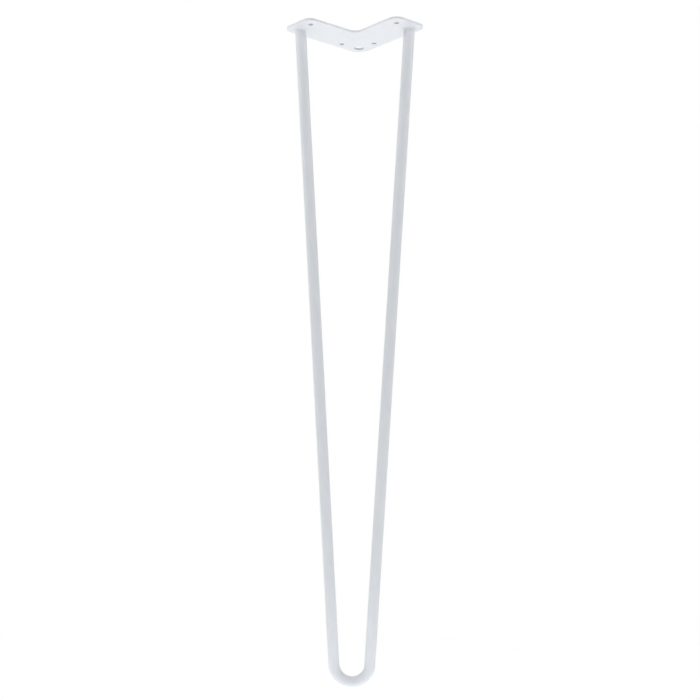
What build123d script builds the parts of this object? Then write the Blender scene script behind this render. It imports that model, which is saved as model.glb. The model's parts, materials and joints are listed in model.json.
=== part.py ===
# Two-rod hairpin table leg: one round bar bent into a hairpin and welded under a V-shaped screw plate.
# Millimetres. The origin is on the axis of the plate's corner hole, on the face that lies against the table.
# +Z is up, into the table. +Y points to the plate's outer corner. X = 0 is the plane of symmetry.
import os
from math import asin, atan2, cos, hypot, radians, sin, tan

from build123d import *

# Whole leg
overall_height = 710
lean_angle = 6.2  # of the hairpin from upright, so that its foot stands out under the plate's corner

# Bar
rod_diameter = 12
bend_radius = 19.5  # of the bar's centre line at the foot

# Plate: two arms that meet at a sharp outer corner, which is then rounded
arm_angle = 90
arm_length = 110
arm_width = 45
plate_thickness = 2.5
outer_corner_radius = 13  # about the corner hole
corner_radius = 10
notch_radius = 9
edge_radius = 0.4

# Centres of the bar's ends under the plate
rod_from_end = 14.5
rod_from_outer_edge = 12

# Weld beads round the bar's ends
weld_leg = 2

# Holes in the plate
screw_hole_diameter = 5.5
end_hole_from_end = 12
end_hole_from_inner_edge = 12
middle_hole_from_corner = 36
middle_hole_from_outer_edge = 10.5
corner_hole_diameter = 11
corner_hole_from_outer_edges = 13

# Layout of the plate
half_angle = radians(arm_angle / 2)
outer_corner_y = corner_hole_from_outer_edges / sin(half_angle)
underside = Plane.XY.offset(-plate_thickness)
sides = {"left": -1, "right": 1}


def arm_point(side, along, inward):
    """A point of one arm: along its outer edge from the sharp corner, and inward from that edge."""
    x = side * (along * sin(half_angle) - inward * cos(half_angle))
    y = outer_corner_y - along * cos(half_angle) - inward * sin(half_angle)
    return (x, y)


# Layout of the bar: the hairpin's plane leans, with its own Y running up the leg from the foot of the bend
lean = radians(lean_angle)
rod_radius = rod_diameter / 2
rod_x, rod_y = arm_point(1, arm_length - rod_from_end, rod_from_outer_edge)
drop = overall_height - plate_thickness - rod_radius
leg_run = drop / cos(lean)
hairpin_plane = Plane(
    origin=(0, rod_y + drop * tan(lean), rod_radius - overall_height),
    x_dir=(1, 0, 0),
    z_dir=(0, -cos(lean), -sin(lean)),
)

# The straight runs spread from an apex below the foot, each at the splay angle, tangent to the bend
bend_to_top = leg_run - bend_radius
splay = atan2(rod_x, bend_to_top) - asin(bend_radius / hypot(rod_x, bend_to_top))
apex_height = bend_radius - bend_radius / sin(splay)
spare_length = rod_radius  # of bar and bead above the plate's underside, cut off flush with it


def run_point(side, height):
    """A point on the centre line of one straight run, at a height in the hairpin's plane."""
    return (side * (height - apex_height) * tan(splay), height)


def weld_bead(side):
    """A ring of weld round the top of one run, seated on the bar and on the plate's underside."""
    top = hairpin_plane.from_local_coords(Vector(*run_point(side, leg_run)))
    apex = hairpin_plane.from_local_coords(Vector(0, apex_height))
    run_axis = Axis(top, top - apex)
    section_normal = hairpin_plane.z_dir.cross(run_axis.direction)
    with BuildPart() as bead:
        with BuildSketch(Plane(origin=top, x_dir=hairpin_plane.z_dir, z_dir=section_normal)):
            with BuildLine():
                Polyline(
                    (rod_radius, -weld_leg),
                    (rod_radius + weld_leg + spare_length, spare_length),
                    (rod_radius, spare_length),
                    close=True,
                )
            make_face()
        revolve(axis=run_axis)
        split(bisect_by=underside, keep=Keep.BOTTOM)
    return bead


# V-shaped plate: rounded outline, broken edges, five plain holes
with BuildPart() as mounting_plate:
    with BuildSketch():
        with BuildLine():
            FilletPolyline(
                arm_point(1, 0, 0),
                arm_point(1, arm_length, 0),
                arm_point(1, arm_length, arm_width),
                arm_point(1, arm_width / tan(half_angle), arm_width),
                arm_point(-1, arm_length, arm_width),
                arm_point(-1, arm_length, 0),
                radius=[outer_corner_radius] + [corner_radius] * 2 + [notch_radius] + [corner_radius] * 2,
                close=True,
            )
        make_face()
    extrude(amount=-plate_thickness)
    fillet(mounting_plate.faces().filter_by(Axis.Z).edges(), edge_radius)
    for side in sides.values():
        end_hole = arm_point(side, arm_length - end_hole_from_end, arm_width - end_hole_from_inner_edge)
        middle_hole = arm_point(side, middle_hole_from_corner, middle_hole_from_outer_edge)
        with Locations(end_hole, middle_hole):
            Hole(screw_hole_diameter / 2)
    Hole(corner_hole_diameter / 2)

# One bar: two straight runs and a bend, with both ends cut flush with the plate's underside
with BuildPart() as hairpin_rod:
    with BuildLine(hairpin_plane) as centre_line:
        FilletPolyline(
            run_point(-1, leg_run + spare_length),
            (0, apex_height),
            run_point(1, leg_run + spare_length),
            radius=bend_radius,
        )
    with BuildSketch(Plane(origin=centre_line.line @ 0, z_dir=centre_line.line % 0)):
        Circle(rod_radius)
    sweep(path=centre_line.line)
    split(bisect_by=underside, keep=Keep.BOTTOM)

pieces = {"mounting_plate": mounting_plate, "hairpin_rod": hairpin_rod}
for name, side in sides.items():
    pieces[f"{name}_weld"] = weld_bead(side)

os.makedirs("parts", exist_ok=True)
for label, piece in pieces.items():
    piece.part.label = label
    export_step(piece.part, f"parts/{label}.step")
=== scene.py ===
# Looks of a two-rod hairpin table leg in white powder coat.
# Metres, in the frame of the solids: the origin is on the plate's corner hole, on the face against the table,
# +Z is up and +Y points to the plate's outer corner.
import json
from math import asin, atan2, cos, hypot, pi, radians, sin, tan

import bmesh
import bpy
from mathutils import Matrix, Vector, noise


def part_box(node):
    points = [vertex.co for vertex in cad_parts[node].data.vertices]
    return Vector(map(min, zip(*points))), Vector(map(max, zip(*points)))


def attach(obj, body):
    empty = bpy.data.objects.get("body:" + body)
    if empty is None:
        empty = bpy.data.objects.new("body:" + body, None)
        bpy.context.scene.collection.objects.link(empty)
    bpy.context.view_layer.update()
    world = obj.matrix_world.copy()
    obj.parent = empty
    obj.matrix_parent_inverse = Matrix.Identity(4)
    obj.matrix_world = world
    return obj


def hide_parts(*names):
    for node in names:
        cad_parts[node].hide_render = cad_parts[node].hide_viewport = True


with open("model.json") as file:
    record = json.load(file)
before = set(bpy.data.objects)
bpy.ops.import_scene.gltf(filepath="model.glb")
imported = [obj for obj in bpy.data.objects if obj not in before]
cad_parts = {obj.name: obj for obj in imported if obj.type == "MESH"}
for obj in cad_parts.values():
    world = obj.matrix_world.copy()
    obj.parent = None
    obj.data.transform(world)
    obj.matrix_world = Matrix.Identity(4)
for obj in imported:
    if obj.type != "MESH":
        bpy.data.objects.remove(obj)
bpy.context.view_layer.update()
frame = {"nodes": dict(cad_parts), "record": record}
mounts = {mount["name"]: mount for mount in frame["record"]["mounts"]}
millimetre = 0.001

# Leg, as it is in the solids
sole = Vector(mounts["floor_foot"]["pos_m"])  # lowest point of the bend
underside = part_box("mounting_plate")[0].z
lean = radians(6.2)
rod_radius = 0.006
bend_radius = 0.0195  # of the bar's centre line
rod_end_x = 0.05904

# Fineness of the added meshes
rod_segments = 128
ring_spacing = 0.012
bend_steps = 96
bead_segments = 256
bead_steps = 12

# Weld: a hollow fillet with the faint ripples that the coat leaves of it
bead_leg = {-1: 0.0017, 1: 0.0022}  # of the left and the right weld
bead_unevenness = 0.10
bead_wander = 2  # how often the leg grows and shrinks round the bar
bead_noise_gap = 5  # between the noises of the two welds
bead_fill = 0.25  # 0 is a round hollow, 1 is flat between the toes
ripple_count = 22
ripple_height = 0.00007
ripple_trail = 1.1  # how far a ripple's toes trail behind its middle, in radians of its own wave

# Powder coat, with its scales in features per metre
thin_film = (0.815, 0.845, 0.885, 1)
thick_film = (0.840, 0.865, 0.900, 1)
film_range = (0.3, 0.7)  # of the noise, from thin film to thick
film_scale = 45
film_detail = 3
# Painted shade: a darker colour put on the walls of the plate's holes, where shade falls in them
painted_hole_shade = (0.63, 0.65, 0.68, 1)  # matched to the dark holes of the photo
hole_margin = 0.0001  # past a hole's radius, so that its wall is within
coat_roughness = (0.32, 0.44)
speck_scale = 300
speck_detail = 2
peel_scale = 1100
peel_detail = 1
peel_depth = 0.00025
peel_strength = 0.5

# Camera
camera_place = (0.1088, -1.3295, -0.4892)
camera_turn = (96.173, -0.792, 4.819)  # degrees
focal_length = 62.83  # mm
sensor_width = 36  # mm

# Studio: pale floor, even light all round and soft lamps
floor_size = 8.0
floor_glow = 0.39  # what the light on the floor leaves short of white
shadow_reach = (0.20, 0.60)  # from the foot: within the first the shadow shows, past the second it is gone
paper_colour = (0.9, 0.9, 0.9, 1)
white = (1.0, 1.0, 1.0, 1)
seen_strength = 1.0  # of the far floor and the backdrop, so that they are seen as white
world_light = 0.15
on_floor = sole.z + 0.0001
back_height = sole.z + 1.2
plate_middle = (0, 0, 0)
below_plate = (0, 0, -0.1)

# Glowing surfaces of the studio, which the gloss already mirrors as white
panels = {
    "light_table": dict(place=(0, 0, on_floor), target=plate_middle, size=(3.0, 3.0), watts=15.4),
    "foot_light": dict(place=(0, 0.005, on_floor), target=(0, 0.005, 0), size=(0.08, 0.04), watts=0.03),
    "ceiling": dict(place=(0, 0, 1.6), target=plate_middle, size=(1.5, 1.5), watts=11.8),
    "back_wall": dict(place=(0, 1.6, back_height), target=(0, 0, back_height), size=(4.0, 2.4), watts=19.3),
}

# Lamps that the gloss mirrors
softboxes = {
    "left": dict(place=(-0.9, -0.2, 0.3), target=below_plate, size=(0.6, 0.6), watts=2.8),
    "right": dict(place=(0.9, -0.2, 0.3), target=below_plate, size=(0.6, 0.6), watts=2.2),
    "front": dict(place=(0, -1.0, 0.35), target=plate_middle, size=(1.2, 0.5), watts=2.5),
}

# Layout of the hairpin: its plane leans about X, and its runs splay from the bend to the bar's ends
up_leg = Vector((0, -sin(lean), cos(lean)))
plane_normal = Vector((0, -cos(lean), -sin(lean)))
foot = sole + Vector((0, 0, rod_radius))
drop = underside - foot.z
rod_end_y = foot.y - drop * tan(lean)
bend_centre = foot + up_leg * bend_radius
bend_to_end = drop / cos(lean) - bend_radius
splay = atan2(rod_end_x, bend_to_end) - asin(bend_radius / hypot(rod_end_x, bend_to_end))


def rod_end(side):
    """Centre of one end of the bar, on the plate's underside."""
    return Vector((side * rod_end_x, rod_end_y, underside))


def run_direction(side):
    """Direction up one straight run."""
    return Vector((side * sin(splay), 0, 0)) + up_leg * cos(splay)


def on_underside(point, direction):
    """Where a line through a point meets the plane of the plate's underside."""
    return point + direction * ((underside - point.z) / direction.z)


def add_mesh(name, vertices, faces, hidden_faces):
    """A new smooth mesh object, with sharp edges round the faces that sit against another piece."""
    mesh = bpy.data.meshes.new(name)
    mesh.from_pydata(vertices, [], faces)
    mesh.shade_smooth()
    shell = bmesh.new()
    shell.from_mesh(mesh)
    shell.faces.ensure_lookup_table()
    for index in hidden_faces:
        for edge in shell.faces[index].edges:
            edge.smooth = False
    bmesh.ops.recalc_face_normals(shell, faces=shell.faces)
    shell.to_mesh(mesh)
    shell.free()
    piece = bpy.data.objects.new(name, mesh)
    bpy.context.collection.objects.link(piece)
    return piece


def ring_faces(here, beyond, count):
    """Quads between two closed rings of vertices."""
    faces = []
    for index in range(count):
        after = (index + 1) % count
        faces.append((here + index, here + after, beyond + after, beyond + index))
    return faces


def hairpin_sections():
    """Centre and outward direction of each of the bar's sections, from its left end to its right end."""
    runs = {}
    for side in (-1, 1):
        outward = Vector((side * cos(splay), 0, 0)) - up_leg * sin(splay)
        start = bend_centre + outward * bend_radius
        end = rod_end(side)
        steps = round((end - start).length / ring_spacing)
        runs[side] = [(start.lerp(end, step / steps), outward) for step in range(1, steps + 1)]
    bend = []
    for step in range(bend_steps + 1):
        turn = (step / bend_steps - 0.5) * (pi - 2 * splay)
        outward = Vector((sin(turn), 0, 0)) - up_leg * cos(turn)
        bend.append((bend_centre + outward * bend_radius, outward))
    return runs[-1][::-1] + bend + runs[1]


def hairpin_rod():
    """The bent bar as one fine closed tube, with both ends cut flush with the plate's underside."""
    turns = [2 * pi * segment / rod_segments for segment in range(rod_segments)]
    rings = []
    for centre, outward in hairpin_sections():
        spokes = [outward * cos(turn) + plane_normal * sin(turn) for turn in turns]
        rings.append([centre + spoke * rod_radius for spoke in spokes])
    rings[0] = [on_underside(point, run_direction(-1)) for point in rings[0]]
    rings[-1] = [on_underside(point, run_direction(1)) for point in rings[-1]]
    vertices = [point for ring in rings for point in ring]
    last_ring = len(vertices) - rod_segments
    faces = []
    for here in range(0, last_ring, rod_segments):
        faces += ring_faces(here, here + rod_segments, rod_segments)
    ends = [tuple(range(rod_segments)), tuple(range(last_ring, len(vertices)))]
    end_indices = range(len(faces), len(faces) + len(ends))
    return add_mesh("coated_hairpin", vertices, faces + ends, end_indices)


def bead_section(side, turn):
    """Points of the weld's section at one turn round the bar: along its face, then the corner it fills."""
    along = run_direction(side)
    radial = plane_normal * cos(turn) + plane_normal.cross(along) * sin(turn)
    noise_place = Vector((bead_wander * cos(turn), bead_wander * sin(turn), bead_noise_gap * side))
    leg = bead_leg[side] * (1 + bead_unevenness * noise.noise(noise_place))
    corner = on_underside(rod_end(side) + radial * rod_radius, along)
    bar_toe = corner - along * leg
    plate_toe = on_underside(bar_toe, radial + along)
    face_normal = (radial - along).normalized()
    points = []
    for step in range(bead_steps + 1):
        share = step / bead_steps
        bow = pi / 2 * share
        hollow = bar_toe + (plate_toe - corner) * (1 - cos(bow)) + (corner - bar_toe) * sin(bow)
        flat = bar_toe.lerp(plate_toe, share)
        arch = sin(pi * share)
        ripple = ripple_height * arch * sin(ripple_count * turn - ripple_trail * arch)
        points.append(hollow.lerp(flat, bead_fill) + face_normal * ripple)
    return points + [corner]


def weld_bead(name, side):
    """A ring of weld between one end of the bar and the plate's underside."""
    vertices = []
    for segment in range(bead_segments):
        vertices += bead_section(side, 2 * pi * segment / bead_segments)
    section_size = bead_steps + 2
    faces = []
    for segment in range(bead_segments):
        beyond = (segment + 1) % bead_segments
        faces += ring_faces(segment * section_size, beyond * section_size, section_size)
    seated = [index for index in range(len(faces)) if index % section_size >= bead_steps]
    return add_mesh(name, vertices, faces, seated)


def largest(tree, values):
    """The largest of several node outputs."""
    result = values[0]
    for value in values[1:]:
        maximum = tree.nodes.new("ShaderNodeMath")
        maximum.operation = "MAXIMUM"
        tree.links.new(result, maximum.inputs[0])
        tree.links.new(value, maximum.inputs[1])
        result = maximum.outputs[0]
    return result


def mixed(tree, factor, first, second):
    """A mix of two shaders: the first where the factor is 0, the second where it is 1."""
    mix = tree.nodes.new("ShaderNodeMixShader")
    tree.links.new(factor, mix.inputs["Fac"])
    tree.links.new(first.outputs[0], mix.inputs[1])
    tree.links.new(second.outputs[0], mix.inputs[2])
    return mix


def plate_holes():
    """Centre and radius of each hole in the plate."""
    corner_hole = mounts["corner_hole"]
    holes = [(Vector(corner_hole["pos_m"]), corner_hole["dims"]["r_mm"] * millimetre)]
    for name in ("end_screws", "middle_screws"):
        middle = Vector(mounts[name]["pos_m"])
        pattern = mounts[name]["dims"]
        half_spacing = Vector((pattern["spacing_x_mm"] / 2 * millimetre, 0, 0))
        for centre in (middle - half_spacing, middle + half_spacing):
            holes.append((centre, pattern["hole_r_mm"] * millimetre))
    return holes


def hole_mask(tree, place):
    """1 within the plate's holes, 0 elsewhere."""
    across = tree.nodes.new("ShaderNodeVectorMath")
    across.operation = "MULTIPLY"
    across.inputs[1].default_value = (1, 1, 0)
    tree.links.new(place, across.inputs[0])
    within = []
    for centre, radius in plate_holes():
        distance = tree.nodes.new("ShaderNodeVectorMath")
        distance.operation = "DISTANCE"
        distance.inputs[1].default_value = centre
        tree.links.new(across.outputs[0], distance.inputs[0])
        nearer = tree.nodes.new("ShaderNodeMath")
        nearer.operation = "LESS_THAN"
        nearer.inputs[1].default_value = radius + hole_margin
        tree.links.new(distance.outputs["Value"], nearer.inputs[0])
        within.append(nearer.outputs[0])
    return largest(tree, within)


def noise_texture(tree, place, scale, detail):
    """Grey noise of a given scale."""
    texture = tree.nodes.new("ShaderNodeTexNoise")
    texture.inputs["Scale"].default_value = scale
    texture.inputs["Detail"].default_value = detail
    tree.links.new(place, texture.inputs["Vector"])
    return texture.outputs["Fac"]


def powder_coat():
    """Satin white powder coat: a slightly cool white with a fine orange-peel skin, and painted shade that
    darkens the walls of the holes.
    """
    material = bpy.data.materials.new("satin_white_powder_coat")
    material.use_nodes = True
    tree = material.node_tree
    shader = tree.nodes["Principled BSDF"]
    place = tree.nodes.new("ShaderNodeTexCoord").outputs["Object"]

    # Film a little thicker in one place than in another
    tint = tree.nodes.new("ShaderNodeValToRGB")
    low, high = tint.color_ramp.elements
    low.position, high.position = film_range
    low.color = thin_film
    high.color = thick_film
    tree.links.new(noise_texture(tree, place, film_scale, film_detail), tint.inputs["Fac"])

    # Painted shade: darker inside the holes, where shade falls on their walls
    coat_colour_and_hole_shade = tree.nodes.new("ShaderNodeMix")
    coat_colour_and_hole_shade.data_type = "RGBA"
    coat_colour_and_hole_shade.inputs["B"].default_value = painted_hole_shade
    tree.links.new(hole_mask(tree, place), coat_colour_and_hole_shade.inputs["Factor"])
    tree.links.new(tint.outputs["Color"], coat_colour_and_hole_shade.inputs["A"])
    tree.links.new(coat_colour_and_hole_shade.outputs["Result"], shader.inputs["Base Color"])

    # Satin gloss, uneven at the size of a sprayed speck
    gloss = tree.nodes.new("ShaderNodeMapRange")
    gloss.inputs["To Min"].default_value = coat_roughness[0]
    gloss.inputs["To Max"].default_value = coat_roughness[1]
    tree.links.new(noise_texture(tree, place, speck_scale, speck_detail), gloss.inputs["Value"])
    tree.links.new(gloss.outputs["Result"], shader.inputs["Roughness"])

    # Orange peel, about a millimetre from dimple to dimple
    peel = tree.nodes.new("ShaderNodeBump")
    peel.inputs["Strength"].default_value = peel_strength
    peel.inputs["Distance"].default_value = peel_depth
    tree.links.new(noise_texture(tree, place, peel_scale, peel_detail), peel.inputs["Height"])
    tree.links.new(peel.outputs["Normal"], shader.inputs["Normal"])
    return material


def seen_ray(tree):
    """1 for rays from the camera and for mirrored or refracted ones, 0 for the rays that carry light."""
    path = tree.nodes.new("ShaderNodeLightPath")
    kinds = ("Is Camera Ray", "Is Glossy Ray", "Is Transmission Ray")
    return largest(tree, [path.outputs[kind] for kind in kinds])


def white_paper():
    """Floor paper that is seen as white, with the leg's shadow round the foot."""
    material = bpy.data.materials.new("white_paper")
    material.use_nodes = True
    tree = material.node_tree
    tree.nodes.remove(tree.nodes["Principled BSDF"])

    lit = tree.nodes.new("ShaderNodeBsdfDiffuse")
    lit.inputs["Color"].default_value = paper_colour
    glow = tree.nodes.new("ShaderNodeEmission")
    glow.inputs["Strength"].default_value = floor_glow
    near = tree.nodes.new("ShaderNodeAddShader")
    tree.links.new(lit.outputs[0], near.inputs[0])
    tree.links.new(glow.outputs[0], near.inputs[1])
    far = tree.nodes.new("ShaderNodeEmission")
    far.inputs["Strength"].default_value = seen_strength

    place = tree.nodes.new("ShaderNodeTexCoord")
    distance = tree.nodes.new("ShaderNodeVectorMath")
    distance.operation = "LENGTH"
    tree.links.new(place.outputs["Object"], distance.inputs[0])
    fade = tree.nodes.new("ShaderNodeMapRange")
    fade.interpolation_type = "SMOOTHSTEP"
    fade.inputs["From Min"].default_value = shadow_reach[0]
    fade.inputs["From Max"].default_value = shadow_reach[1]
    tree.links.new(distance.outputs["Value"], fade.inputs["Value"])

    seen = mixed(tree, fade.outputs["Result"], near, far)
    surface = mixed(tree, seen_ray(tree), lit, seen)
    tree.links.new(surface.outputs[0], tree.nodes["Material Output"].inputs["Surface"])
    return material


def add_floor():
    """A plain floor, centred under the foot."""
    half = floor_size / 2
    corners = [(-half, -half, 0), (half, -half, 0), (half, half, 0), (-half, half, 0)]
    mesh = bpy.data.meshes.new("floor")
    mesh.from_pydata(corners, [], [(0, 1, 2, 3)])
    mesh.materials.append(white_paper())
    floor = bpy.data.objects.new("floor", mesh)
    floor.location = sole
    bpy.context.collection.objects.link(floor)


def light_world():
    """Even grey light all round, seen as white."""
    world = bpy.data.worlds.new("studio")
    world.use_nodes = True
    bpy.context.scene.world = world
    tree = world.node_tree
    light = tree.nodes["Background"]
    light.inputs["Color"].default_value = white
    light.inputs["Strength"].default_value = world_light
    backdrop = tree.nodes.new("ShaderNodeBackground")
    backdrop.inputs["Color"].default_value = white
    backdrop.inputs["Strength"].default_value = seen_strength
    surface = mixed(tree, seen_ray(tree), light, backdrop)
    tree.links.new(surface.outputs[0], tree.nodes["World Output"].inputs["Surface"])


def add_lamp(name, place, target, size, watts, mirrored):
    """A rectangular soft lamp that points at a target. It isn't seen itself, but gloss may mirror it."""
    light = bpy.data.lights.new(name, "AREA")
    light.shape = "RECTANGLE"
    light.size, light.size_y = size
    light.energy = watts
    lamp = bpy.data.objects.new(name, light)
    lamp.location = place
    lamp.rotation_euler = (Vector(target) - Vector(place)).to_track_quat("-Z", "Y").to_euler()
    lamp.visible_camera = False
    lamp.visible_glossy = mirrored
    bpy.context.collection.objects.link(lamp)


def add_camera():
    """The camera at the photograph's viewing angle."""
    view = bpy.data.cameras.new("camera")
    view.lens = focal_length
    view.sensor_width = sensor_width
    camera = bpy.data.objects.new("camera", view)
    camera.location = camera_place
    camera.rotation_euler = [radians(angle) for angle in camera_turn]
    bpy.context.collection.objects.link(camera)
    bpy.context.scene.camera = camera


coat = powder_coat()
frame["nodes"]["mounting_plate"].material_slots[0].material = coat
pieces = {
    "hairpin_rod": hairpin_rod(),
    "left_weld": weld_bead("left_bead", -1),
    "right_weld": weld_bead("right_bead", 1),
}
for node, piece in pieces.items():
    piece.data.materials.append(coat)
    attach(piece, "root")
    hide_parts(node)

add_floor()
light_world()
for name, panel in panels.items():
    add_lamp(name, **panel, mirrored=False)
for name, softbox in softboxes.items():
    add_lamp(name, **softbox, mirrored=True)
add_camera()
bpy.context.scene.view_settings.view_transform = "Standard"
